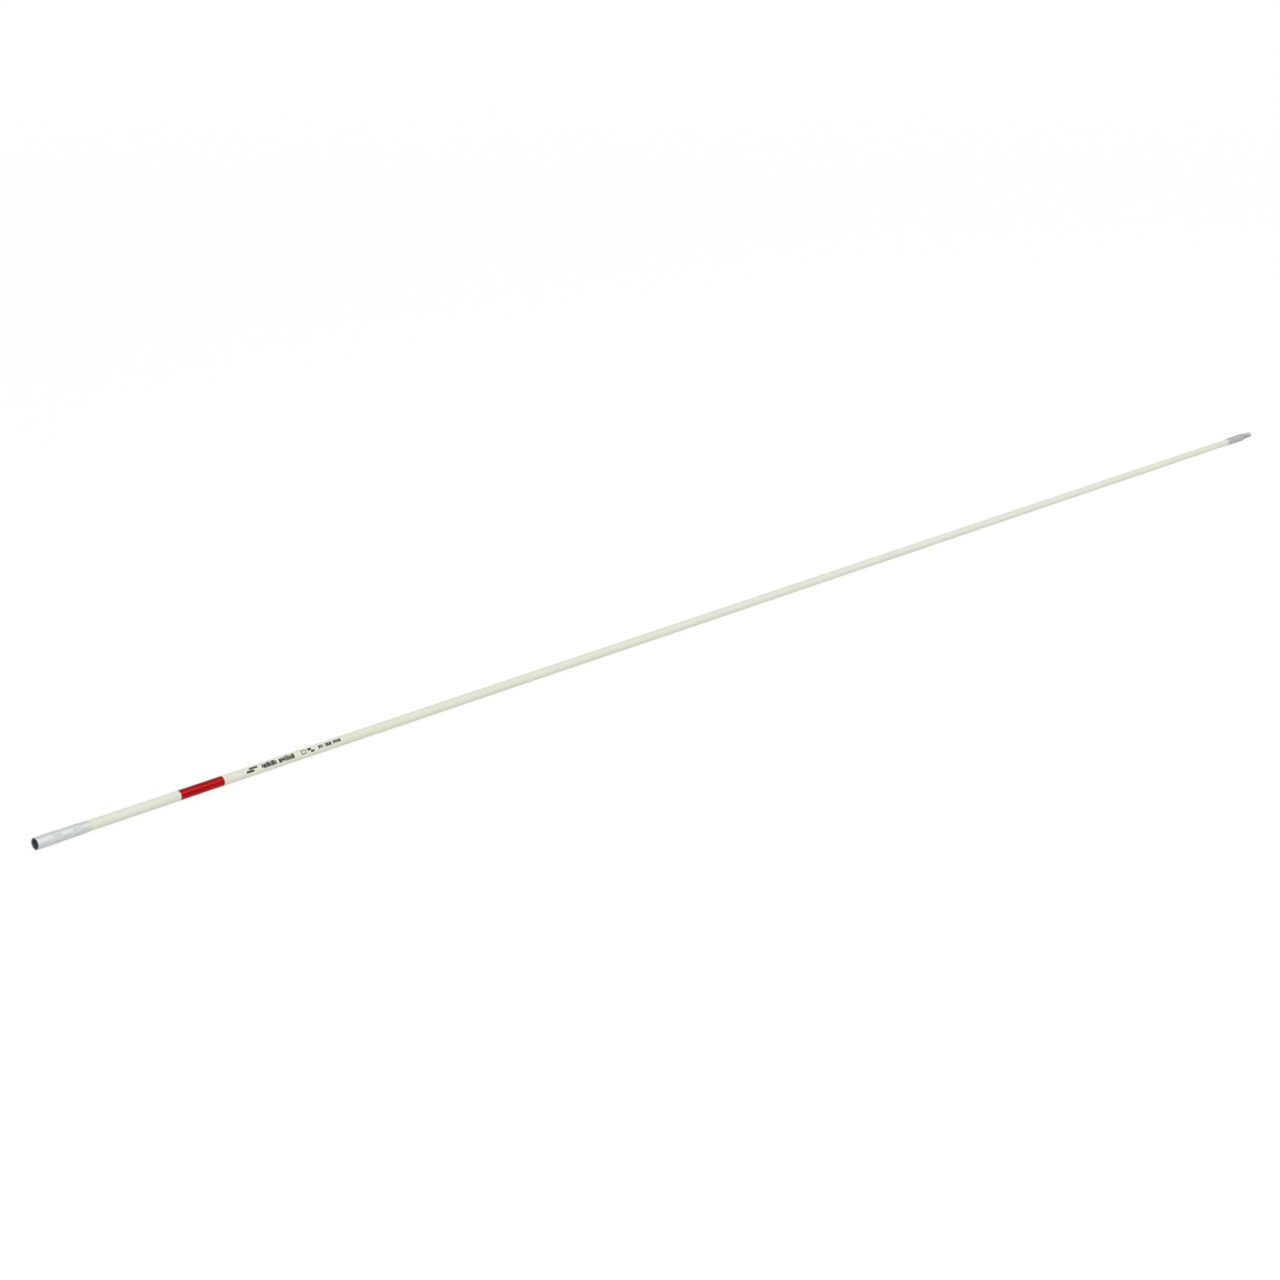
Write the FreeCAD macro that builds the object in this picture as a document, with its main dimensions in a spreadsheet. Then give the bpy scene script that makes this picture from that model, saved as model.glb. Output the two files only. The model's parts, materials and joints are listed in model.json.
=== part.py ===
import FreeCAD, Part

import os

import Sketcher

# One section of a screw-together fibreglass cable fishing rod, in millimetres.
# X runs along the rod, from the mouth of the socket (the origin) to the tip of the stud.
# Z is up when the rod lies on a flat surface.

DIMENSIONS = [
    ("overall_length", 1524.0, "socket mouth to stud tip, 5 ft"),
    ("rod_diameter", 6.35, "outside the coating, 1/4 in"),
    ("core_diameter", 5.55, "pultruded glass-fibre core"),
    ("glue_gap", 0.105, "adhesive round the core, on the radius"),
    ("glue_floor", 0.5, "adhesive between the core's end and the steel"),
    ("band_start", 100.1, "socket mouth to the colour band"),
    ("band_length", 32.6, "colour band along the rod"),
    ("band_wall", 0.06, "thickness of the colour band"),
    ("sleeve_length", 36.0, "each ferrule sleeve"),
    ("sleeve_diameter", 7.5, "front land of a sleeve"),
    ("middle_diameter", 7.2, "land between the two crimps"),
    ("tail_diameter", 6.95, "land behind the second crimp"),
    ("tail_end_diameter", 6.55, "rolled-in rear edge"),
    ("tail_taper", 2.2, "length of the rolled-in rear edge"),
    ("edge_chamfer", 0.25, "outer edge of a sleeve's mouth"),
    ("small_chamfer", 0.2, "inner edge of a sleeve's mouth and the steel pieces' edges"),
    ("seat_diameter", 6.2, "sleeve bore round the steel piece"),
    ("front_crimp_start", 10.5, "sleeve mouth to the first crimp"),
    ("rear_crimp_start", 23.6, "sleeve mouth to the second crimp"),
    ("crimp_width", 5.8, "each crimp along the sleeve"),
    ("crimp_slope", 0.6, "run of each sloping end of a crimp's flats"),
    ("front_crimp_flats", 6.85, "across flats of the first crimp"),
    ("rear_crimp_flats", 6.62, "across flats of the second crimp"),
    ("ridge_height", 0.2, "inner ridge that the first crimp presses in"),
    ("steel_end", 22.0, "sleeve mouth to the inner end of the steel piece"),
    ("pilot_bore", 5.3, "counterbore in the socket's steel insert"),
    ("pilot_depth", 2.6, "depth of that counterbore"),
    ("tap_diameter", 4.2, "M5 x 0.8 thread at its minor diameter"),
    ("tapped_depth", 19.3, "socket mouth to the end of the full bore"),
    ("drill_point", 1.2, "cone left by the drill beyond the full bore"),
    ("stud_reach", 18.7, "stud tip beyond its sleeve"),
    ("stud_pilot", 5.2, "pilot that fits the next section's counterbore"),
    ("stud_pilot_length", 2.3, "pilot beyond the sleeve"),
    ("neck_diameter", 3.9, "thread relief behind the stud's thread"),
    ("neck_length", 1.5, "thread relief along the stud"),
    ("thread_diameter", 5.0, "M5 x 0.8 thread at its major diameter"),
    ("tip_chamfer", 0.5, "stud tip"),
]

# Derived sizes that several pieces share, as expressions on the sheet.
BORE_RADIUS = "(Dims.core_diameter / 2 + Dims.glue_gap)"
SEAT_RADIUS = "Dims.seat_diameter / 2"
RIDGE_RADIUS = "(Dims.seat_diameter / 2 - Dims.ridge_height)"
CORE_RADIUS = "Dims.core_diameter / 2"
CORE_START = "(Dims.steel_end + Dims.glue_floor)"
FAR_MOUTH = "(Dims.overall_length - Dims.stud_reach)"
CRIMP_COUNT = 6


def add_sheet(doc):
    sheet = doc.addObject("Spreadsheet::Sheet", "Dims")
    for row, (alias, value, note) in enumerate(DIMENSIONS, start=1):
        sheet.set(f"A{row}", str(value))
        sheet.setAlias(f"A{row}", alias)
        sheet.set(f"B{row}", f"'{note}")
    doc.recompute()
    return sheet


def add_body(doc, label, mouth=None):
    """A body whose X axis is the rod's. Given a mouth, it is turned to face +X from there."""
    body = doc.addObject("PartDesign::Body", label)
    body.Label = label
    if mouth:
        body.Placement.Rotation = FreeCAD.Rotation(FreeCAD.Vector(0, 0, 1), 180)
        body.setExpression("Placement.Base.x", mouth)
    return body


def origin_feature(body, role):
    return next(f for f in body.Origin.OriginFeatures if f.Role == role)


def add_sketch(body, name, plane):
    sketch = body.newObject("Sketcher::SketchObject", f"{body.Label}_{name}")
    sketch.AttachmentSupport = (origin_feature(body, plane), [""])
    sketch.MapMode = "FlatFace"
    return sketch


def pin_down(sketch, geometry, vertex, across, up):
    """Dimension one vertex from the sketch's origin, with expressions on the sheet."""
    for kind, expression, axis in (("DistanceX", across, -2), ("DistanceY", up, -1)):
        if expression == "0":
            sketch.addConstraint(Sketcher.Constraint("PointOnObject", geometry, vertex, axis))
            continue
        value = sketch.evalExpression(expression)
        constraint = Sketcher.Constraint(kind, -1, 1, geometry, vertex, value)
        index = sketch.addConstraint(constraint)
        sketch.setExpression(f"Constraints[{index}]", expression)


def outline(body, name, plane, corners):
    """A closed outline of straight lines through the corners, each an (across, up) pair."""
    sketch = add_sketch(body, name, plane)
    points = [
        FreeCAD.Vector(sketch.evalExpression(across), sketch.evalExpression(up), 0)
        for across, up in corners
    ]
    for start, end in zip(points, points[1:] + points[:1]):
        sketch.addGeometry(Part.LineSegment(start, end), False)
    count = len(corners)
    for line in range(count):
        following = (line + 1) % count
        sketch.addConstraint(Sketcher.Constraint("Coincident", line, 2, following, 1))
    for line, (across, up) in enumerate(corners):
        pin_down(sketch, line, 1, across, up)
    return sketch


def circles(body, name, *radii):
    """Circles about the rod's axis, for pads along it."""
    sketch = add_sketch(body, name, "YZ_Plane")
    for index, radius in enumerate(radii):
        value = sketch.evalExpression(radius)
        centre = FreeCAD.Vector(0, 0, 0)
        sketch.addGeometry(Part.Circle(centre, FreeCAD.Vector(0, 0, 1), value), False)
        sketch.addConstraint(Sketcher.Constraint("Coincident", index, 3, -1, 1))
        constraint = sketch.addConstraint(Sketcher.Constraint("Radius", index, value))
        sketch.setExpression(f"Constraints[{constraint}]", radius)
    return sketch


def revolve(body, sketch):
    turned = body.newObject("PartDesign::Revolution", f"{body.Label}_turned")
    turned.Profile = sketch
    turned.ReferenceAxis = (sketch, ["H_Axis"])
    turned.Angle = 360
    return turned


def pad(body, sketch, start, length):
    bar = body.newObject("PartDesign::Pad", f"{body.Label}_pad")
    bar.Profile = sketch
    bar.setExpression("Length", length)
    sketch.setExpression("AttachmentOffset.Base.z", start)
    return bar


def chamfer(body, base, spots, size):
    """Chamfer the circular edges of the last feature at the given (x, radius) spots."""
    body.Document.recompute()
    names = [
        f"Edge{index}"
        for index, edge in enumerate(base.Shape.Edges, start=1)
        if isinstance(edge.Curve, Part.Circle)
        and any(
            abs(edge.CenterOfMass.x - body.evalExpression(x)) < 1e-4
            and abs(edge.Curve.Radius - body.evalExpression(radius)) < 1e-4
            for x, radius in spots
        )
    ]
    if len(names) != len(spots):
        raise RuntimeError(f"{body.Label}: {len(names)} edges to chamfer, not {len(spots)}")
    cut = body.newObject("PartDesign::Chamfer", f"{body.Label}_chamfer")
    cut.Base = (base, names)
    cut.setExpression("Size", size)
    return cut


def crimp(body, name, start, flats):
    """Six pressed flats round a sleeve: one pocket across the top, repeated about the axis."""
    outside = "Dims.sleeve_diameter / 2 + 1"
    end = f"{start} + Dims.crimp_width"
    corners = [
        (f"{start} + Dims.crimp_slope", f"{flats} / 2"),
        (f"{end} - Dims.crimp_slope", f"{flats} / 2"),
        (f"{end} + Dims.crimp_slope", outside),
        (f"{start} - Dims.crimp_slope", outside),
    ]
    flat = body.newObject("PartDesign::Pocket", f"{body.Label}_{name}_flat")
    flat.Profile = outline(body, f"{name}_profile", "XZ_Plane", corners)
    flat.SideType = "Symmetric"
    flat.setExpression("Length", "2 * Dims.sleeve_diameter")
    ring = body.newObject("PartDesign::PolarPattern", f"{body.Label}_{name}")
    ring.Originals = [flat]
    ring.Axis = (origin_feature(body, "X_Axis"), [""])
    ring.Angle = 360
    ring.Occurrences = CRIMP_COUNT
    body.Tip = ring
    return ring


def ridge():
    """Corners of the ring that the first crimp presses into the steel piece."""
    start = "Dims.front_crimp_start"
    end = f"{start} + Dims.crimp_width"
    return [
        (f"{start} + Dims.crimp_slope", SEAT_RADIUS),
        (f"{start} + 2 * Dims.crimp_slope", RIDGE_RADIUS),
        (f"{end} - 2 * Dims.crimp_slope", RIDGE_RADIUS),
        (f"{end} - Dims.crimp_slope", SEAT_RADIUS),
    ]


def sleeve(doc, label, mouth=None):
    """A ferrule: a steel tube, bored in two steps, swaged down behind and crimped twice."""
    front = "Dims.sleeve_diameter / 2"
    middle = "Dims.middle_diameter / 2"
    tail = "Dims.tail_diameter / 2"
    front_end = "Dims.front_crimp_start + Dims.crimp_width"
    middle_end = "Dims.rear_crimp_start + Dims.crimp_width"
    corners = [
        ("0", front),
        (f"{front_end} - Dims.crimp_slope", front),
        (front_end, middle),
        (f"{middle_end} - Dims.crimp_slope", middle),
        (middle_end, tail),
        ("Dims.sleeve_length - Dims.tail_taper", tail),
        ("Dims.sleeve_length", "Dims.tail_end_diameter / 2"),
        ("Dims.sleeve_length", BORE_RADIUS),
        ("Dims.steel_end", BORE_RADIUS),
        ("Dims.steel_end", SEAT_RADIUS),
        *reversed(ridge()),
        ("0", SEAT_RADIUS),
    ]
    body = add_body(doc, label, mouth)
    turned = revolve(body, outline(body, "profile", "XY_Plane", corners))
    rim = chamfer(body, turned, [("0", front)], "Dims.edge_chamfer")
    chamfer(body, rim, [("0", SEAT_RADIUS)], "Dims.small_chamfer")
    crimp(body, "front_crimp", "Dims.front_crimp_start", "Dims.front_crimp_flats")
    crimp(body, "rear_crimp", "Dims.rear_crimp_start", "Dims.rear_crimp_flats")
    return body


def socket_core(doc):
    """The threaded insert: flush with the mouth, held by the first crimp and the sleeve's step."""
    tapped = "Dims.tap_diameter / 2"
    pilot = "Dims.pilot_bore / 2"
    corners = [
        ("0", SEAT_RADIUS),
        *ridge(),
        ("Dims.steel_end", SEAT_RADIUS),
        ("Dims.steel_end", "0"),
        ("Dims.tapped_depth + Dims.drill_point", "0"),
        ("Dims.tapped_depth", tapped),
        ("Dims.pilot_depth", tapped),
        ("Dims.pilot_depth", pilot),
        ("0", pilot),
    ]
    body = add_body(doc, "socket_core")
    turned = revolve(body, outline(body, "profile", "XY_Plane", corners))
    edges = [("0", SEAT_RADIUS), ("0", pilot), ("Dims.pilot_depth", tapped)]
    chamfer(body, turned, edges, "Dims.small_chamfer")
    return body


def stud_core(doc):
    """The stud: a shank inside its sleeve, then pilot, relief neck and thread."""
    pilot = "Dims.stud_pilot / 2"
    pilot_end = "-Dims.stud_pilot_length"
    neck = "Dims.neck_diameter / 2"
    neck_end = "-(Dims.stud_pilot_length + Dims.neck_length)"
    thread = "Dims.thread_diameter / 2"
    tip = "-Dims.stud_reach"
    corners = [
        ("Dims.steel_end", "0"),
        ("Dims.steel_end", SEAT_RADIUS),
        *reversed(ridge()),
        ("0", SEAT_RADIUS),
        ("0", pilot),
        (pilot_end, pilot),
        (pilot_end, neck),
        (neck_end, neck),
        (neck_end, thread),
        (tip, thread),
        (tip, "0"),
    ]
    body = add_body(doc, "stud_core", FAR_MOUTH)
    turned = revolve(body, outline(body, "profile", "XY_Plane", corners))
    edges = [("0", SEAT_RADIUS), (pilot_end, pilot), (neck_end, thread)]
    turned = chamfer(body, turned, edges, "Dims.small_chamfer")
    chamfer(body, turned, [(tip, thread)], "Dims.tip_chamfer")
    return body


def bond(doc, label, mouth=None):
    """Cured adhesive: a cup between a sleeve's bore, the steel piece and the core's end."""
    corners = [
        ("Dims.steel_end", "0"),
        ("Dims.steel_end", BORE_RADIUS),
        ("Dims.sleeve_length", BORE_RADIUS),
        ("Dims.sleeve_length", CORE_RADIUS),
        (CORE_START, CORE_RADIUS),
        (CORE_START, "0"),
    ]
    body = add_body(doc, label, mouth)
    revolve(body, outline(body, "profile", "XY_Plane", corners))
    return body


def rod_core(doc):
    body = add_body(doc, "rod_core")
    pad(body, circles(body, "section", CORE_RADIUS), CORE_START, f"{FAR_MOUTH} - 2 * {CORE_START}")
    return body


def rod_jacket(doc):
    """The coating, stripped from both ends of the core where the sleeves go over it."""
    section = ("Dims.rod_diameter / 2", CORE_RADIUS)
    body = add_body(doc, "rod_jacket")
    length = f"{FAR_MOUTH} - 2 * Dims.sleeve_length"
    pad(body, circles(body, "section", *section), "Dims.sleeve_length", length)
    return body


def colour_band(doc):
    outer = "Dims.rod_diameter / 2 + Dims.band_wall"
    body = add_body(doc, "colour_band")
    section = circles(body, "section", outer, "Dims.rod_diameter / 2")
    pad(body, section, "Dims.band_start", "Dims.band_length")
    return body


def check(doc):
    doc.recompute()
    for item in doc.Objects:
        if "Invalid" in item.State or "Error" in item.State:
            raise RuntimeError(f"{item.Label} failed: {item.State}")


def export(body):
    shape = body.Shape
    if shape.isNull() or not shape.isValid() or len(shape.Solids) != 1:
        raise RuntimeError(f"{body.Label} isn't one valid solid")
    shape.exportStep(f"parts/{body.Label}.step")
    box = shape.BoundBox
    print(f"{body.Label}: x {box.XMin:.2f} to {box.XMax:.2f}, {shape.Volume:.1f} mm3")


def main():
    os.makedirs("parts", exist_ok=True)
    doc = FreeCAD.newDocument("cable_rod")
    add_sheet(doc)
    pieces = [
        rod_core(doc),
        rod_jacket(doc),
        colour_band(doc),
        sleeve(doc, "socket_sleeve"),
        socket_core(doc),
        bond(doc, "socket_bond"),
        sleeve(doc, "stud_sleeve", FAR_MOUTH),
        stud_core(doc),
        bond(doc, "stud_bond", FAR_MOUTH),
    ]
    check(doc)
    for piece in pieces:
        export(piece)


main()
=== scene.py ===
"""The looks of one section of a screw-together fibreglass cable fishing rod, built round its CAD.

X runs along the rod from the socket's mouth, at the origin, to the tip of the stud. Z is up.
Sizes are in millimetres until a mesh or an object is made, and in metres from there on.
"""

import json
import math
import random

import bmesh
import bpy
from mathutils import Matrix, Vector


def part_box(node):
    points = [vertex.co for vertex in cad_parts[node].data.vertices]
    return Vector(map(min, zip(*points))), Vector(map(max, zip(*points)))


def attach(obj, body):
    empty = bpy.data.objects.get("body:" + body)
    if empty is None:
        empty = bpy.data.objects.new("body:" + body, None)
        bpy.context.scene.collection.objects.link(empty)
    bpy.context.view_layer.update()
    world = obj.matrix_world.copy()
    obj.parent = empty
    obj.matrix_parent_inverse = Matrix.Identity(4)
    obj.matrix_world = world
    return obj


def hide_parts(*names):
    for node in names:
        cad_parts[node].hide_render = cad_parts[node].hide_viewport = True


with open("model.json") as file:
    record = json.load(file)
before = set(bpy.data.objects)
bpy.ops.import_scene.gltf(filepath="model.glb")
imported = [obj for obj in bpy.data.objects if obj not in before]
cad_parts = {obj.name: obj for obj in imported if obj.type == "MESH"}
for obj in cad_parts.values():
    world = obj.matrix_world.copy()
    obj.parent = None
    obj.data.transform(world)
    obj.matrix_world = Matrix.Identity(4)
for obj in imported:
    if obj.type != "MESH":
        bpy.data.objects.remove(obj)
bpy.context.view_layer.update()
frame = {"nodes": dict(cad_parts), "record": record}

MM = 0.001
BODY = "root"


# ---------------------------------------------------------------- sizes read from the frame


def reach(node):
    """Where a node starts and ends along the rod, in millimetres."""
    low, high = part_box(node)
    return low.x / MM, high.x / MM


def mount_radius(name):
    return next(m["dims"]["r_mm"] for m in frame["record"]["mounts"] if m["name"] == name)


SLEEVE_LENGTH = reach("socket_sleeve")[1]
STEEL_END = reach("socket_core")[1]
COATING_START, COATING_END = reach("rod_jacket")
BAND_START, BAND_END = reach("colour_band")
STUD_TIP = reach("stud_core")[1]
STUD_MOUTH = reach("stud_sleeve")[1]
FLOOR_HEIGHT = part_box("socket_sleeve")[0].z / MM

ROD_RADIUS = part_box("rod_jacket")[1].z / MM
BAND_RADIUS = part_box("colour_band")[1].z / MM
CORE_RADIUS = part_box("rod_core")[1].z / MM
FRONT_RADIUS = -FLOOR_HEIGHT
SEAT_RADIUS = 3.1
BORE_RADIUS = 2.88

SOCKET_PILOT = mount_radius("socket_pilot")
SOCKET_MINOR = mount_radius("socket_thread")
STUD_PILOT = mount_radius("stud_pilot")
STUD_MAJOR = mount_radius("stud_thread")


# ---------------------------------------------------------------- meshes turned about the rod

ARC_STEPS = 4
SHARP_ANGLE = math.radians(35)


def ring(bm, x, radius, segments):
    """A row of vertices round the rod. The radius is a number or a function of the angle."""
    row = []
    for index in range(segments):
        angle = 2 * math.pi * index / segments
        out = radius(angle) if callable(radius) else radius
        row.append(bm.verts.new((x * MM, out * math.cos(angle) * MM, out * math.sin(angle) * MM)))
    return row


def pole(bm, x):
    """A row of one vertex, on the rod's axis."""
    return [bm.verts.new((x * MM, 0, 0))]


def join(bm, first, second):
    """The faces between two neighbouring rows."""
    count = max(len(first), len(second))
    for index in range(count):
        following = (index + 1) % count
        corners = (
            first[index % len(first)],
            first[following % len(first)],
            second[following % len(second)],
            second[index % len(second)],
        )
        bm.faces.new(list(dict.fromkeys(corners)))


def join_all(bm, rows, closed=False):
    following = rows[1:] + rows[:1] if closed else rows[1:]
    for first, second in zip(rows, following):
        join(bm, first, second)


def rounded(corners, closed=False):
    """The outline through (x, radius, rounding) corners, with an arc in place of each rounded one."""
    points = []
    count = len(corners)
    for index, (x, out, size) in enumerate(corners):
        at_end = not closed and index in (0, count - 1)
        here = Vector((x, out))
        if at_end or size == 0:
            points.append((x, out))
            continue
        before = Vector(corners[index - 1][:2]) - here
        after = Vector(corners[(index + 1) % count][:2]) - here
        start = before.normalized() * min(size, 0.45 * before.length)
        end = after.normalized() * min(size, 0.45 * after.length)
        for step in range(ARC_STEPS + 1):
            share = step / ARC_STEPS
            point = here + start * (1 - share) ** 2 + end * share**2
            points.append((point.x, point.y))
    return points


def divided(points, longest):
    """The outline with its long runs along the rod divided, so that no face is a long sliver."""
    result = []
    for (x0, out0), (x1, out1) in zip(points, points[1:] + points[:1]):
        pieces = max(1, math.ceil(abs(x1 - x0) / longest))
        result += [
            (x0 + (x1 - x0) * k / pieces, out0 + (out1 - out0) * k / pieces) for k in range(pieces)
        ]
    return result


def rows_of(bm, points, segments):
    return [ring(bm, x, out, segments) if out > 0 else pole(bm, x) for x, out in points]


def new_piece(name, bm, material):
    """A piece of the object from a closed bmesh, riding on the rod."""
    bmesh.ops.recalc_face_normals(bm, faces=bm.faces)
    mesh = bpy.data.meshes.new(name)
    bm.to_mesh(mesh)
    bm.free()
    mesh.shade_smooth()
    mesh.set_sharp_from_angle(angle=SHARP_ANGLE)
    mesh.materials.append(material)
    piece = bpy.data.objects.new(name, mesh)
    bpy.context.scene.collection.objects.link(piece)
    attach(piece, BODY)
    return piece


def smooth_step(value, start, end):
    share = min(1.0, max(0.0, (value - start) / (end - start)))
    return share * share * (3 - 2 * share)


def soft_min(first, second, blend):
    """The smaller of two numbers, rounded off where they cross and never above either."""
    low = min(first, second)
    return low - blend * math.log1p(math.exp(-abs(first - second) / blend))


# ---------------------------------------------------------------- M5 threads

PITCH = 0.8
# One pitch of an ISO metric thread, from the middle of one root: (share of the pitch, height).
THREAD_FORM = (
    (0.00, 0.00),
    (0.11, 0.03),
    (0.17, 0.15),
    (0.40, 0.88),
    (0.45, 0.98),
    (0.50, 1.00),
    (0.55, 0.98),
    (0.60, 0.88),
    (0.83, 0.15),
    (0.89, 0.03),
)
THREAD_DEPTH = 0.433
FADE_TURNS = 0.6


def thread(bm, before, after, start, turns, root, height, limit=None):
    """A right-handed thread between two rings: rows that wind round the rod one pitch a turn.

    It fades in and out, so that its first and last rows lie on the plain cylinder.
    """
    segments = len(before)
    steps = len(THREAD_FORM)
    last = turns * steps

    def vertex(row, column):
        share, form = THREAD_FORM[row % steps]
        turn = row // steps + column / segments
        x = start + PITCH * (row // steps + share + column / segments)
        fade = smooth_step(turn, 0, FADE_TURNS) * smooth_step(turns - turn, 0, FADE_TURNS)
        out = root + height * form * fade
        if limit:
            out = min(out, limit(x))
        angle = 2 * math.pi * column / segments
        return bm.verts.new((x * MM, out * math.cos(angle) * MM, out * math.sin(angle) * MM))

    grid = [[vertex(row, column) for column in range(segments)] for row in range(last + 1)]
    grid += [[vertex(row, 0)] for row in range(last + 1, last + steps + 1)]
    for row in range(last + 1):
        grid[row].append(grid[row + steps][0])
    for row in range(last):
        for column in range(segments):
            corners = (
                grid[row][column],
                grid[row][column + 1],
                grid[row + 1][column + 1],
                grid[row + 1][column],
            )
            bm.faces.new(corners)

    for column in range(segments - 1):
        bm.faces.new((before[column], before[column + 1], grid[0][column + 1], grid[0][column]))
    fan = [before[-1], before[0], *(grid[row][0] for row in range(steps + 1))]
    for first, second in zip(fan, fan[1:]):
        bm.faces.new((grid[0][segments - 1], first, second))

    for column in range(1, segments):
        following = after[(column + 1) % segments]
        bm.faces.new((grid[last][column], grid[last][column + 1], following, after[column]))
    fan = [after[1], after[0], *(grid[row][0] for row in range(last + steps, last - 1, -1))]
    for first, second in zip(fan, fan[1:]):
        bm.faces.new((grid[last][1], first, second))


# ---------------------------------------------------------------- materials


class Surface:
    """A material whose nodes read the piece's own coordinates, in millimetres."""

    def __init__(self, name, **values):
        self.material = bpy.data.materials.new(name)
        self.material.use_nodes = True
        self.nodes = self.material.node_tree.nodes
        self.links = self.material.node_tree.links
        self.shader = self.nodes["Principled BSDF"]
        for socket, value in values.items():
            self.shader.inputs[socket.replace("_", " ")].default_value = value
        self.place = self.nodes.new("ShaderNodeTexCoord").outputs["Object"]

    def stretched(self, along, across):
        """Coordinates in millimetres times one scale along the rod and another across it."""
        node = self.nodes.new("ShaderNodeMapping")
        node.inputs["Scale"].default_value = (along / MM, across / MM, across / MM)
        self.links.new(self.place, node.inputs["Vector"])
        return node.outputs["Vector"]

    def noise(self, along, across, detail=3.0, rough=0.55):
        """Noise between about 0 and 1, from features of 1/along by 1/across millimetres."""
        node = self.nodes.new("ShaderNodeTexNoise")
        node.inputs["Scale"].default_value = 1.0
        node.inputs["Detail"].default_value = detail
        node.inputs["Roughness"].default_value = rough
        self.links.new(self.stretched(along, across), node.inputs["Vector"])
        return node.outputs["Fac"]

    def spread(self, value, low, high, to_low, to_high):
        """A value from low to high mapped to another range, and held there."""
        node = self.nodes.new("ShaderNodeMapRange")
        inputs = ("From Min", "From Max", "To Min", "To Max")
        for socket, number in zip(inputs, (low, high, to_low, to_high)):
            node.inputs[socket].default_value = number
        self.links.new(value, node.inputs["Value"])
        return node.outputs["Result"]

    def attribute(self, name):
        node = self.nodes.new("ShaderNodeAttribute")
        node.attribute_name = name
        return node.outputs["Fac"]

    def blend(self, share, first, second):
        """Colour one to colour two by a share. Either may be a colour or another node's output."""
        node = self.nodes.new("ShaderNodeMix")
        node.data_type = "RGBA"
        for socket, value in ((node.inputs[0], share), (node.inputs[6], first), (node.inputs[7], second)):
            if isinstance(value, bpy.types.NodeSocket):
                self.links.new(value, socket)
            else:
                socket.default_value = value if isinstance(value, float) else (*value, 1.0)
        return node.outputs[2]

    def total(self, first, second):
        node = self.nodes.new("ShaderNodeMath")
        node.operation = "ADD"
        for socket, value in zip(node.inputs, (first, second)):
            self.links.new(value, socket)
        return node.outputs[0]

    def colour(self, output):
        self.links.new(output, self.shader.inputs["Base Color"])

    def roughness(self, output):
        self.links.new(output, self.shader.inputs["Roughness"])

    def bump(self, height, depth):
        """Surface relief of that depth, in millimetres."""
        node = self.nodes.new("ShaderNodeBump")
        node.inputs["Distance"].default_value = depth * MM
        self.links.new(height, node.inputs["Height"])
        previous = self.shader.inputs["Normal"]
        if previous.is_linked:
            self.links.new(previous.links[0].from_socket, node.inputs["Normal"])
        self.links.new(node.outputs["Normal"], previous)


def ivory_coating():
    """Extruded anti-splinter coating: pale ivory, satin, faint lines along it and a light orange peel."""
    look = Surface("ivory_coating_look", Specular_IOR_Level=0.35)
    cloud = look.spread(look.noise(0.02, 0.12, 2.0), 0.3, 0.7, 0.0, 1.0)
    base = look.blend(cloud, (0.545, 0.555, 0.465), (0.570, 0.575, 0.490))
    streak = look.spread(look.noise(0.05, 5.0, 4.0), 0.35, 0.75, 0.0, 0.16)
    base = look.blend(streak, base, (0.48, 0.48, 0.38))
    fleck = look.spread(look.noise(0.35, 2.2, 5.0, 0.7), 0.68, 0.78, 0.0, 0.35)
    look.colour(look.blend(fleck, base, (0.44, 0.43, 0.33)))
    look.roughness(look.spread(look.noise(0.15, 0.9, 4.0), 0.25, 0.75, 0.44, 0.60))
    look.bump(look.noise(0.08, 6.0, 3.0), 0.010)
    look.bump(look.noise(2.2, 2.8, 3.0), 0.006)
    return look.material


def red_band():
    """Heat-shrunk red sleeve: glossy, with faint rings where it drew in."""
    look = Surface("red_band_look", Metallic=0.92)
    cloud = look.spread(look.noise(0.10, 0.5, 3.0), 0.3, 0.7, 0.0, 1.0)
    base = look.blend(cloud, (0.29, 0.004, 0.005), (0.34, 0.006, 0.007))
    scuff = look.spread(look.noise(0.25, 3.0, 5.0, 0.7), 0.62, 0.76, 0.0, 0.25)
    look.colour(look.blend(scuff, base, (0.55, 0.06, 0.06)))
    look.roughness(look.spread(look.noise(0.6, 1.6, 4.0), 0.25, 0.75, 0.22, 0.34))
    look.bump(look.noise(0.9, 0.08, 2.0), 0.012)
    look.bump(look.noise(0.5, 0.8, 3.0), 0.070)
    return look.material


def plated_steel(name, light, dark):
    """Zinc plate: turning rings under it, fine handling scratches, duller in the crimps."""
    look = Surface(name, Metallic=1.0)
    tint = look.spread(look.noise(0.12, 0.25, 3.0), 0.3, 0.7, 0.0, 1.0)
    base = look.blend(tint, tuple(0.93 * channel for channel in light), light)
    pressed = look.attribute("pressed")
    base = look.blend(pressed, base, tuple(0.98 * channel for channel in light))
    stain = look.spread(look.noise(0.8, 0.9, 5.0, 0.65), 0.52, 0.76, 0.0, 0.45)
    base = look.blend(stain, base, dark)
    # The mouth's end face and its inner edge are painted dark grey: painted shade of the open mouth.
    look.colour(look.blend(look.attribute("mouth_face_shade"), base, (0.10, 0.13, 0.14)))
    fine = look.spread(look.noise(1.2, 1.0, 5.0, 0.65), 0.30, 0.70, 0.56, 0.78)
    look.roughness(look.total(fine, look.spread(pressed, 0.0, 1.0, 0.0, 0.12)))
    look.bump(look.noise(9.0, 0.15, 3.0), 0.008)
    look.bump(look.noise(0.6, 4.0, 4.0, 0.7), 0.008)
    return look.material


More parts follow.
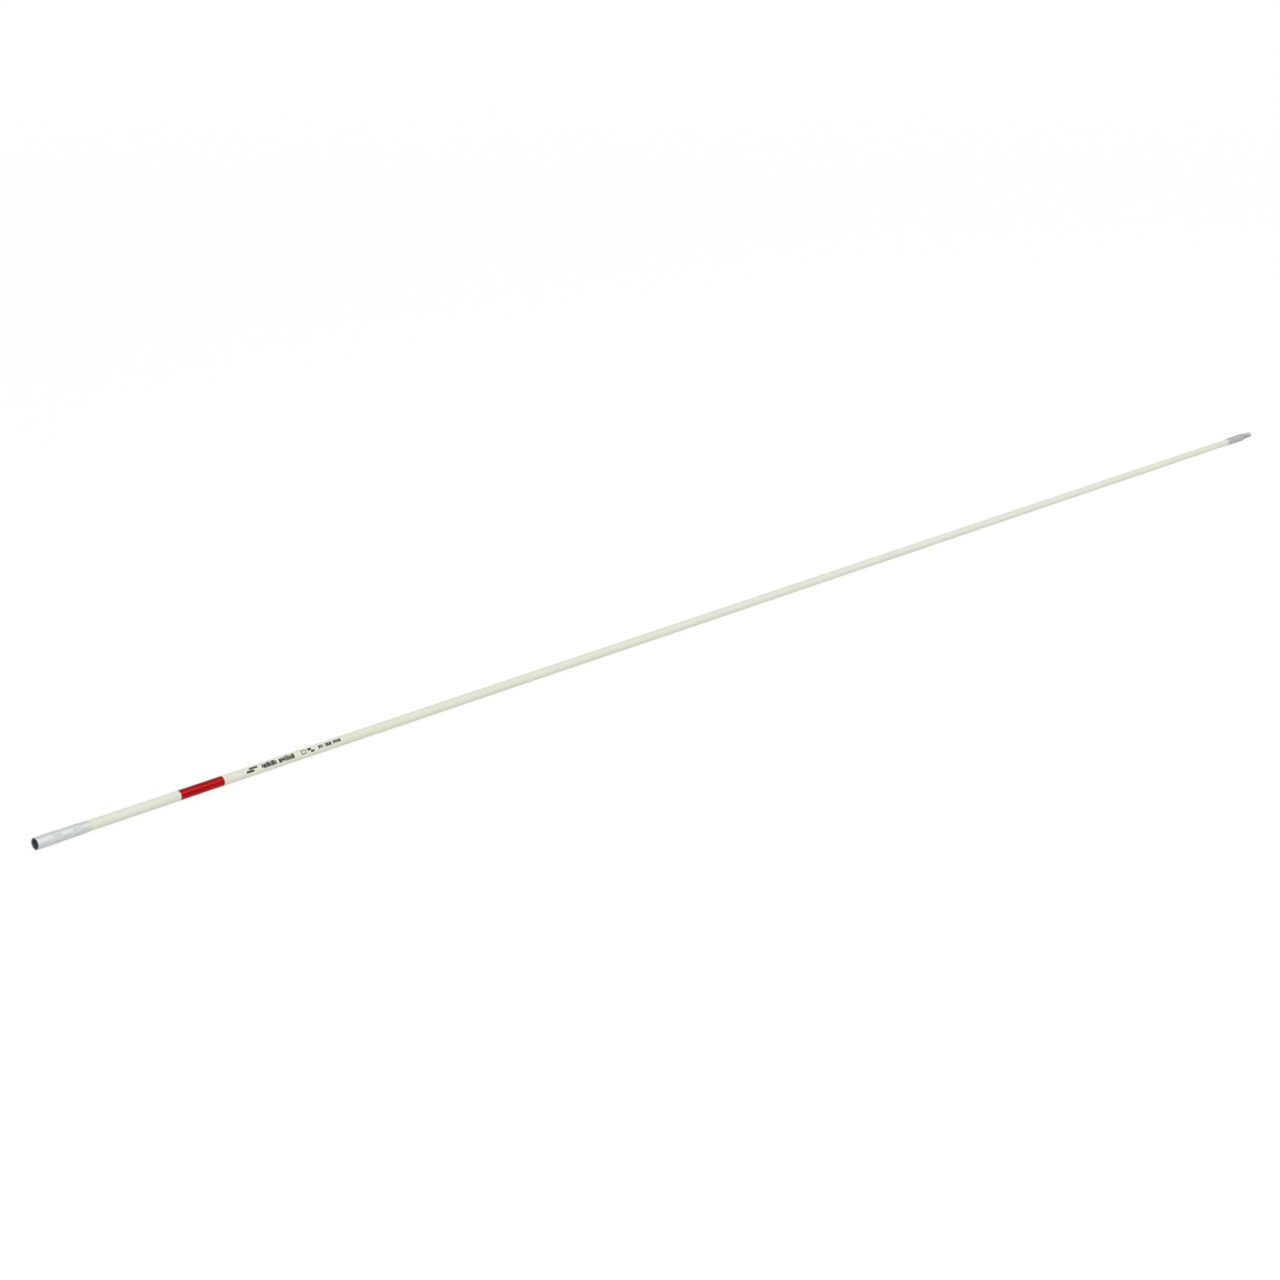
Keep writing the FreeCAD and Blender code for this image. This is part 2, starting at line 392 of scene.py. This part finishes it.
def painted_shade_steel():
    """Insert steel in blue-black, painted dark as shade of the deep mouth, with the lathe's rings on its
    face and a pilot bore painted lighter, rubbed bright and lit.
    """
    look = Surface("painted_shade_steel_look", Metallic=0.85)
    tint = look.spread(look.noise(0.5, 0.7, 4.0), 0.3, 0.7, 0.0, 1.0)
    # Very dark blue-black base: painted shade of the deep mouth.
    base = look.blend(tint, (0.022, 0.042, 0.054), (0.045, 0.072, 0.084))
    # The pilot bore is painted lighter: partly rubbed bright by the stud, partly painted light falling on
    # its wall.
    base = look.blend(look.attribute("rubbed_and_painted_light"), base, (0.30, 0.35, 0.37))
    wear_and_painted_reflection = look.spread(look.noise(1.6, 1.8, 5.0, 0.7), 0.62, 0.76, 0.0, 0.55)
    look.colour(look.blend(wear_and_painted_reflection, base, (0.20, 0.23, 0.25)))
    look.roughness(look.spread(look.noise(1.2, 1.5, 4.0), 0.25, 0.75, 0.30, 0.50))
    look.bump(look.noise(7.0, 2.0, 3.0), 0.006)
    return look.material


def bare_steel():
    """Rolled and turned steel: grey, brighter on the thread's crests, with its roots painted darker as
    shade in the grooves.
    """
    look = Surface("bare_steel_look", Metallic=1.0)
    tint = look.spread(look.noise(0.5, 0.8, 4.0), 0.3, 0.7, 0.0, 1.0)
    base = look.blend(tint, (0.17, 0.18, 0.19), (0.25, 0.26, 0.27))
    # The thread's crests are lighter and its roots darker: painted shade in the grooves.
    base = look.blend(look.attribute("crest_over_root_shade"), base, (0.42, 0.43, 0.44))
    oil = look.spread(look.noise(0.9, 1.1, 5.0, 0.7), 0.60, 0.78, 0.0, 0.5)
    look.colour(look.blend(oil, base, (0.10, 0.10, 0.10)))
    look.roughness(look.spread(look.noise(1.2, 2.0, 4.0), 0.25, 0.75, 0.26, 0.44))
    look.bump(look.noise(8.0, 0.6, 3.0), 0.005)
    return look.material


def ink():
    """Pad-printed black ink, thin and a little broken."""
    look = Surface("black_ink_look", Specular_IOR_Level=0.35)
    thin = look.spread(look.noise(2.4, 2.6, 5.0, 0.75), 0.58, 0.72, 0.0, 0.45)
    look.colour(look.blend(thin, (0.022, 0.022, 0.020), (0.20, 0.20, 0.165)))
    look.roughness(look.spread(look.noise(3.0, 3.0, 3.0), 0.25, 0.75, 0.42, 0.60))
    look.bump(look.noise(4.0, 4.0, 3.0), 0.004)
    return look.material


def glass_fibre():
    """Pultruded core: straight fibres in pale green-yellow resin."""
    look = Surface("glass_fibre_look", Specular_IOR_Level=0.5)
    fibre = look.spread(look.noise(0.02, 9.0, 5.0, 0.65), 0.3, 0.7, 0.0, 1.0)
    look.colour(look.blend(fibre, (0.50, 0.49, 0.33), (0.72, 0.71, 0.58)))
    look.roughness(look.spread(fibre, 0.0, 1.0, 0.30, 0.55))
    look.bump(look.noise(0.02, 12.0, 4.0), 0.015)
    return look.material


def adhesive():
    """Cured epoxy: amber, glossy, with small bubbles."""
    look = Surface("adhesive_look", Specular_IOR_Level=0.5)
    cloud = look.spread(look.noise(0.6, 0.7, 4.0), 0.3, 0.7, 0.0, 1.0)
    base = look.blend(cloud, (0.62, 0.46, 0.20), (0.76, 0.62, 0.34))
    bubble = look.spread(look.noise(3.5, 3.5, 2.0), 0.66, 0.72, 0.0, 0.8)
    look.colour(look.blend(bubble, base, (0.88, 0.82, 0.66)))
    look.roughness(look.spread(cloud, 0.0, 1.0, 0.14, 0.30))
    look.bump(look.noise(2.5, 2.5, 3.0), 0.02)
    return look.material


# ---------------------------------------------------------------- ferrule sleeves

SLEEVE_SEGMENTS = 144
MOUTH_ROUND = 0.25
TAIL_ROUND = 0.1
MIDDLE_RADIUS = 3.6
TAIL_RADIUS = 3.475
TAIL_END_RADIUS = 3.275
TAIL_TAPER = 2.2
TAIL_CURVE = 1.6
STEP_REACH = 0.2
SWELL = 0.03
SWELL_REACH = 0.9
CRIMP_SLOPE = 0.6
EDGE_BLEND = 0.028
OPEN_DIE = 1.6
# Each crimp: where it starts and ends from the sleeve's mouth, and its flats' distance from the axis.
CRIMPS = ((10.5, 16.3, 3.425), (23.6, 29.4, 3.31))
RIDGE_RADIUS = 2.9
# The edge inside the mouth, broken in two facets: (depth, how much wider than the bore).
MOUTH_BREAK = ((0.2, 0.0), (0.05, 0.06), (0.0, 0.16))
PRESSED_DEPTH = 0.12
SLEEVE_ROW = 0.25


def quarter_round(depth, size):
    """How far a rounded edge has drawn in, at a depth from the end of the sleeve."""
    share = min(1.0, max(0.0, depth / size))
    return size * (1 - math.sqrt(1 - (1 - share) ** 2))


def land_radius(x):
    """The sleeve's radius between its crimps: it narrows in two steps and rolls in at the tail."""
    (front_start, front_end, _), (rear_start, rear_end, _) = CRIMPS
    out = FRONT_RADIUS - SWELL
    out += (MIDDLE_RADIUS - FRONT_RADIUS) * smooth_step(x, front_end - CRIMP_SLOPE, front_end + STEP_REACH)
    out += (TAIL_RADIUS - MIDDLE_RADIUS) * smooth_step(x, rear_end - CRIMP_SLOPE, rear_end + STEP_REACH)
    for edge in (front_start, front_end, rear_start, rear_end):
        out += SWELL * math.exp(-(((x - edge) / SWELL_REACH) ** 2))
    roll = max(0.0, 1 - (SLEEVE_LENGTH - x) / TAIL_TAPER)
    out -= (TAIL_RADIUS - TAIL_END_RADIUS) * roll**TAIL_CURVE
    out -= quarter_round(x, MOUTH_ROUND)
    out -= quarter_round(SLEEVE_LENGTH - x, TAIL_ROUND)
    return min(out, FRONT_RADIUS)


def die_distance(x, crimp):
    """How far from the axis a crimp's flats are at x: at full depth inside it, and open outside."""
    start, end, flats = crimp
    into = min(x - start, end - x)
    return flats + OPEN_DIE * (1 - smooth_step(into, -CRIMP_SLOPE, CRIMP_SLOPE))


def sleeve_radius(x, angle):
    """Six pressed flats in each crimp, the first one facing up."""
    sixth = math.pi / 3
    off_centre = (angle - math.pi / 2 + sixth / 2) % sixth - sixth / 2
    out = land_radius(x)
    for crimp in CRIMPS:
        out = soft_min(out, die_distance(x, crimp) / math.cos(off_centre), EDGE_BLEND)
    return out


def sleeve_stations():
    """Where the sleeve's rows stand: close together at both ends, even between them."""
    steps = 6
    ease = [1 - math.cos(math.pi / 2 * k / steps) for k in range(steps + 1)]
    front = [MOUTH_ROUND * share for share in ease]
    back = [SLEEVE_LENGTH - TAIL_ROUND * share for share in reversed(ease)]
    count = round((back[0] - front[-1]) / SLEEVE_ROW)
    even = [front[-1] + (back[0] - front[-1]) * k / count for k in range(1, count)]
    return front + even + back


def pressed_amount(x, angle):
    """1 on a crimp's flats and 0 on the lands, for the material."""
    return min(1.0, max(0.0, (land_radius(x) - sleeve_radius(x, angle)) / PRESSED_DEPTH))


def sleeve_mesh():
    """Outside from mouth to tail, then back through the stepped bore."""
    bm = bmesh.new()
    pressed = bm.verts.layers.float.new("pressed")
    # The rows of the mouth's end face are marked for painted shade of the open mouth.
    mouth_face_shade = bm.verts.layers.float.new("mouth_face_shade")
    rows = []
    for x in sleeve_stations():
        row = ring(bm, x, lambda angle, x=x: sleeve_radius(x, angle), SLEEVE_SEGMENTS)
        for index, vertex in enumerate(row):
            vertex[pressed] = pressed_amount(x, 2 * math.pi * index / SLEEVE_SEGMENTS)
            vertex[mouth_face_shade] = 1.0 if x == 0 else 0.0
        rows.append(row)
    start, end, _ = CRIMPS[0]
    bore = [
        (SLEEVE_LENGTH, BORE_RADIUS),
        (STEEL_END, BORE_RADIUS),
        (STEEL_END, SEAT_RADIUS),
        (end - CRIMP_SLOPE, SEAT_RADIUS),
        (end - 2 * CRIMP_SLOPE, RIDGE_RADIUS),
        (start + 2 * CRIMP_SLOPE, RIDGE_RADIUS),
        (start + CRIMP_SLOPE, SEAT_RADIUS),
        *((depth, SEAT_RADIUS + wider) for depth, wider in MOUTH_BREAK),
    ]
    rows += rows_of(bm, bore, SLEEVE_SEGMENTS)
    for vertex in rows[-1]:
        vertex[mouth_face_shade] = 1.0
    join_all(bm, rows, closed=True)
    return bm


def build_sleeves(socket_plate, stud_plate):
    socket = new_piece("socket_ferrule", sleeve_mesh(), socket_plate)
    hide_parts("socket_sleeve")
    turned = sleeve_mesh()
    about = Matrix.Translation((STUD_MOUTH * MM, 0, 0)) @ Matrix.Rotation(math.pi, 4, "Z")
    bmesh.ops.transform(turned, matrix=about, verts=turned.verts)
    stud = new_piece("stud_ferrule", turned, stud_plate)
    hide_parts("stud_sleeve")


# ---------------------------------------------------------------- the steel inside the ferrules

STEEL_SEGMENTS = 96
PILOT_DEPTH = 2.6
TAP_DEPTH = 19.3
DRILL_POINT = 1.2
STUD_PILOT_LENGTH = 2.3
NECK_END = STUD_PILOT_LENGTH + 1.5
NECK_RADIUS = 1.95
TIP_CHAMFER = 0.5
TIP_LEAD = 0.15
THREAD_LEAD = 0.6
FLANK_GAP = 0.03


def ridge_groove(mouth, inward):
    """The groove that the front crimp's ridge presses into the steel."""
    start, end, _ = CRIMPS[0]
    places = (
        (start + CRIMP_SLOPE, SEAT_RADIUS),
        (start + 2 * CRIMP_SLOPE, RIDGE_RADIUS),
        (end - 2 * CRIMP_SLOPE, RIDGE_RADIUS),
        (end - CRIMP_SLOPE, SEAT_RADIUS),
    )
    return [(mouth + inward * depth, out, 0.05) for depth, out in places]


def build_socket_insert(material):
    """Blind threaded insert, flush with the sleeve's mouth."""
    bm = bmesh.new()
    outside = rounded(
        [
            (STEEL_END, 0, 0),
            (STEEL_END, SEAT_RADIUS, 0.15),
            *reversed(ridge_groove(0, 1)),
            (0, SEAT_RADIUS, 0.18),
            (0, SOCKET_PILOT, 0.2),
            (PILOT_DEPTH, SOCKET_PILOT, 0.05),
            (PILOT_DEPTH, SOCKET_MINOR, 0.25),
            (PILOT_DEPTH + THREAD_LEAD, SOCKET_MINOR, 0),
        ]
    )
    inside = [(TAP_DEPTH, SOCKET_MINOR), (TAP_DEPTH + DRILL_POINT, 0)]
    rows = rows_of(bm, outside, STEEL_SEGMENTS)
    end_rows = rows_of(bm, inside, STEEL_SEGMENTS)
    join_all(bm, rows)
    join_all(bm, end_rows)
    start = PILOT_DEPTH + THREAD_LEAD + 0.1
    turns = int((TAP_DEPTH - start) / PITCH) - 1
    thread(bm, rows[-1], end_rows[0], start, turns, SOCKET_MINOR, THREAD_DEPTH - FLANK_GAP)
    # The pilot bore is marked to be painted lighter, both rubbed and lit.
    rubbed_and_painted_light = bm.verts.layers.float.new("rubbed_and_painted_light")
    for vertex in bm.verts:
        out = math.hypot(vertex.co.y, vertex.co.z) / MM
        in_pilot = vertex.co.x / MM < PILOT_DEPTH and out < SOCKET_PILOT + 0.02
        vertex[rubbed_and_painted_light] = 1.0 if in_pilot else 0.0
    insert = new_piece("socket_insert", bm, material)
    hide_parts("socket_core")


def tip_limit(x):
    """How far out the thread may come where the tip's chamfer cuts it."""
    return min(STUD_MAJOR, STUD_MAJOR - TIP_CHAMFER + (STUD_TIP - x))


def build_stud(material):
    """Shank in the ferrule, pilot, relief neck and thread, in one bar."""
    bm = bmesh.new()
    root = STUD_MAJOR - THREAD_DEPTH
    neck_end = STUD_MOUTH + NECK_END
    pilot_end = STUD_MOUTH + STUD_PILOT_LENGTH
    outline = rounded(
        [
            (STUD_MOUTH - STEEL_END, 0, 0),
            (STUD_MOUTH - STEEL_END, SEAT_RADIUS, 0.15),
            *reversed(ridge_groove(STUD_MOUTH, -1)),
            (STUD_MOUTH, SEAT_RADIUS, 0.18),
            (STUD_MOUTH, STUD_PILOT, 0.12),
            (pilot_end, STUD_PILOT, 0.2),
            (pilot_end, NECK_RADIUS, 0.15),
            (neck_end - 0.1, NECK_RADIUS, 0.1),
            (neck_end, root, 0),
        ]
    )
    rows = rows_of(bm, outline, STEEL_SEGMENTS)
    tip = rounded(
        [(STUD_TIP - 0.12, root, 0), (STUD_TIP, STUD_MAJOR - TIP_CHAMFER - 0.04, 0.08), (STUD_TIP, 0, 0)]
    )
    tip_rows = rows_of(bm, tip, STEEL_SEGMENTS)
    join_all(bm, rows)
    join_all(bm, tip_rows)
    turns = int((STUD_TIP - TIP_LEAD - neck_end) / PITCH) - 1
    start = STUD_TIP - TIP_LEAD - PITCH * (turns + 1)
    thread(bm, rows[-1], tip_rows[0], start, turns, root, THREAD_DEPTH, tip_limit)
    # Crests are marked lighter than the roots: painted shade in the thread's grooves.
    crest_over_root_shade = bm.verts.layers.float.new("crest_over_root_shade")
    for vertex in bm.verts:
        out = math.hypot(vertex.co.y, vertex.co.z) / MM
        beyond_neck = vertex.co.x / MM > neck_end
        vertex[crest_over_root_shade] = smooth_step(out, root + 0.2, STUD_MAJOR) if beyond_neck else 0.0
    stud = new_piece("stud", bm, material)
    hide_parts("stud_core")


# ---------------------------------------------------------------- coating and colour band

TUBE_SEGMENTS = 96
COATING_ROW = 12
BAND_ROW = 0.5
BAND_SLACK = 0.025


def build_coating(material):
    """The coating, with its trimmed ends just softened where they meet the ferrules."""
    bm = bmesh.new()
    corners = [
        (COATING_START, ROD_RADIUS, 0.12),
        (COATING_END, ROD_RADIUS, 0.12),
        (COATING_END, CORE_RADIUS, 0),
        (COATING_START, CORE_RADIUS, 0),
    ]
    points = divided(rounded(corners, closed=True), COATING_ROW)
    join_all(bm, rows_of(bm, points, TUBE_SEGMENTS), closed=True)
    coating = new_piece("coating", bm, material)
    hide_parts("rod_jacket")


def band_radius(x, angle):
    """The band drew in unevenly when it shrank: shallow rings, and edges a little out of true."""
    depth = min(x - BAND_START, BAND_END - x)
    ripple = 0.012 * math.sin(0.9 * x + 0.6 * math.sin(angle)) + 0.008 * math.sin(2.3 * x + 2 * angle)
    return BAND_RADIUS - BAND_SLACK + ripple * smooth_step(depth, 0, 1.5) - quarter_round(depth, 0.08)


def build_band(material):
    bm = bmesh.new()
    count = round((BAND_END - BAND_START) / BAND_ROW)
    ease = [0.0, 0.01, 0.03, 0.06, 0.1, 0.2]
    stations = [BAND_START + depth for depth in ease]
    stations += [BAND_START + (BAND_END - BAND_START) * k / count for k in range(1, count)]
    stations += [BAND_END - depth for depth in reversed(ease)]
    rows = [
        ring(bm, x, lambda angle, x=x: band_radius(x, angle), TUBE_SEGMENTS) for x in stations
    ]
    rows += rows_of(bm, [(BAND_END, ROD_RADIUS), (BAND_START, ROD_RADIUS)], TUBE_SEGMENTS)
    join_all(bm, rows, closed=True)
    band = new_piece("red_band", bm, material)
    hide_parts("colour_band")


# ---------------------------------------------------------------- printed marks
# The real rod has print here. These are plain bars and blocks of the same size and weight.

PRINT_ANGLE = math.radians(141)
PRINT_OUT = 0.012
PRINT_IN = 0.030
PRINT_STEP = 0.25
# Rows of bars: where each starts and ends along the rod, and the seed for its bars.
TALL_ROWS = ((162.0, 174.3, 3), (175.6, 189.1, 5))
TALL_HEIGHT = 3.3
TALL_WIDTHS = (1.2, 1.7, 2.3)
TALL_GAP = 0.22
SHORT_ROWS = ((208.0, 212.6, 7), (213.6, 219.2, 8), (220.2, 226.5, 9))
SHORT_HEIGHT = 2.3
SHORT_WIDTHS = (0.9, 1.4, 1.9)
SHORT_GAP = 0.25


def add_mark(bm, x0, x1, low, high):
    """A thin plate of ink that follows the coating, from low to high round it, in millimetres."""
    across = max(2, math.ceil((high - low) / PRINT_STEP))
    along = max(1, math.ceil((x1 - x0) / PRINT_STEP))

    def vertex(i, j, out):
        up = low + (high - low) * j / across
        x = x0 + (x1 - x0) * i / along
        angle = PRINT_ANGLE - up / ROD_RADIUS
        return bm.verts.new((x * MM, out * math.cos(angle) * MM, out * math.sin(angle) * MM))

    skins = [
        [[vertex(i, j, ROD_RADIUS + out) for j in range(across + 1)] for i in range(along + 1)]
        for out in (PRINT_OUT, -PRINT_IN)
    ]
    for skin in skins:
        for i in range(along):
            for j in range(across):
                bm.faces.new((skin[i][j], skin[i + 1][j], skin[i + 1][j + 1], skin[i][j + 1]))
    outer, inner = (
        [skin[i][0] for i in range(along)]
        + [skin[along][j] for j in range(across)]
        + [skin[i][across] for i in range(along, 0, -1)]
        + [skin[0][j] for j in range(across, 0, -1)]
        for skin in skins
    )
    for k in range(len(outer)):
        following = (k + 1) % len(outer)
        bm.faces.new((outer[k], outer[following], inner[following], inner[k]))


def bars(bm, start, end, height, widths, gap, seed):
    """Upright bars of different widths and heights from start to end."""
    order = random.Random(seed)
    x = start
    while x < end - widths[0]:
        width = min(order.choice(widths), end - x)
        low = -height / 2 + order.choice((0.0, 0.0, 0.15 * height))
        high = height / 2 - order.choice((0.0, 0.0, 0.2 * height))
        add_mark(bm, x, x + width, low, high)
        x += width + gap * order.uniform(0.8, 1.3)


def build_print(material):
    bm = bmesh.new()
    add_mark(bm, 149.9, 155.8, -1.6, -0.15)
    add_mark(bm, 152.6, 159.0, 0.15, 1.5)
    new_piece("print_badge", bm, material)

    bm = bmesh.new()
    for start, end, seed in TALL_ROWS:
        bars(bm, start, end, TALL_HEIGHT, TALL_WIDTHS, TALL_GAP, seed)
    new_piece("print_bars", bm, material)

    bm = bmesh.new()
    for low, high in ((-1.3, -0.75), (0.75, 1.3)):
        add_mark(bm, 193.9, 197.9, low, high)
    for x in (193.9, 197.3):
        add_mark(bm, x, x + 0.6, -0.75, 0.75)
    add_mark(bm, 199.2, 202.2, -0.1, 1.6)
    add_mark(bm, 201.4, 204.2, -1.6, -0.3)
    new_piece("print_squares", bm, material)

    bm = bmesh.new()
    for start, end, seed in SHORT_ROWS:
        bars(bm, start, end, SHORT_HEIGHT, SHORT_WIDTHS, SHORT_GAP, seed)
    new_piece("print_dashes", bm, material)


# ---------------------------------------------------------------- camera, floor and light

# The camera stands in millimetres. The floor and the lamp are in metres.
CAMERA_PLACE = (-629.7, -997.1, 464.9)
CAMERA_HEADING = 40.886
CAMERA_PITCH = 16.972
CAMERA_LENS = 60.55

FLOOR_SIDE = 400.0
FLOOR_TONE = 0.12
FLOOR_GLOW = 0.85
ROOM_LIGHT = 0.95
LAMP_RADIANCE = 7.0
LAMP_LENGTH = 4.0
LAMP_WIDTH = 0.2
LAMP_DISTANCE = 1.5
LAMP_ELEVATION = 50


def build_camera():
    data = bpy.data.cameras.new("camera")
    data.lens = CAMERA_LENS
    data.sensor_width = 36
    data.clip_end = 1000
    camera = bpy.data.objects.new("camera", data)
    camera.location = Vector(CAMERA_PLACE) * MM
    tilt = math.radians(90 - CAMERA_PITCH)
    camera.rotation_euler = (tilt, 0, math.radians(CAMERA_HEADING - 90))
    bpy.context.scene.collection.objects.link(camera)
    bpy.context.scene.camera = camera


def build_floor():
    """A pale light table: most of its brightness is its own glow, so the rod's shadow stays faint."""
    bm = bmesh.new()
    bmesh.ops.create_grid(bm, x_segments=1, y_segments=1, size=FLOOR_SIDE / 2)
    mesh = bpy.data.meshes.new("floor")
    bm.to_mesh(mesh)
    bm.free()
    floor = bpy.data.objects.new("floor", mesh)
    floor.location.z = FLOOR_HEIGHT * MM
    bpy.context.scene.collection.objects.link(floor)
    look = Surface("floor_look", Roughness=0.9, Specular_IOR_Level=0.1)
    look.shader.inputs["Base Color"].default_value = (FLOOR_TONE, FLOOR_TONE, FLOOR_TONE, 1.0)
    look.shader.inputs["Emission Color"].default_value = (1.0, 1.0, 1.0, 1.0)
    look.shader.inputs["Emission Strength"].default_value = FLOOR_GLOW
    mesh.materials.append(look.material)


def build_room():
    world = bpy.data.worlds.new("room")
    world.use_nodes = True
    background = world.node_tree.nodes["Background"]
    background.inputs["Color"].default_value = (1.0, 1.0, 1.0, 1.0)
    background.inputs["Strength"].default_value = ROOM_LIGHT
    bpy.context.scene.world = world


def build_lamp():
    """One long narrow lamp in line with the rod, for its highlight."""
    lamp = bpy.data.lights.new("lamp", "AREA")
    lamp.shape = "RECTANGLE"
    lamp.size = LAMP_LENGTH
    lamp.size_y = LAMP_WIDTH
    lamp.energy = LAMP_RADIANCE * math.pi * LAMP_LENGTH * LAMP_WIDTH
    bar = bpy.data.objects.new("lamp", lamp)
    height = math.radians(LAMP_ELEVATION)
    middle = STUD_TIP * MM / 2
    bar.location = (middle, -LAMP_DISTANCE * math.cos(height), LAMP_DISTANCE * math.sin(height))
    bar.rotation_euler = (math.pi / 2 - height, 0, 0)
    bpy.context.scene.collection.objects.link(bar)


def set_look(node, material):
    """The material of a CAD node that keeps its own shape."""
    materials = frame["nodes"][node].data.materials
    materials.clear()
    materials.append(material)


def main():
    bpy.context.scene.view_settings.view_transform = "Standard"
    build_camera()
    build_floor()
    build_room()
    build_lamp()

    bright = plated_steel("bright_plate_look", (0.610, 0.634, 0.630), (0.50, 0.52, 0.53))
    # The stud's ferrule takes the same zinc plate painted darker, with a darker stain colour: painted
    # reflection of dark surroundings at the rod's far end.
    wear_and_painted_reflection = plated_steel("dark_reflection_plate_look", (0.450, 0.470, 0.475), (0.26, 0.28, 0.29))
    build_sleeves(bright, wear_and_painted_reflection)
    build_socket_insert(painted_shade_steel())
    build_stud(bare_steel())
    build_coating(ivory_coating())
    build_band(red_band())
    build_print(ink())
    set_look("rod_core", glass_fibre())
    glue = adhesive()
    set_look("socket_bond", glue)
    set_look("stud_bond", glue)


main()
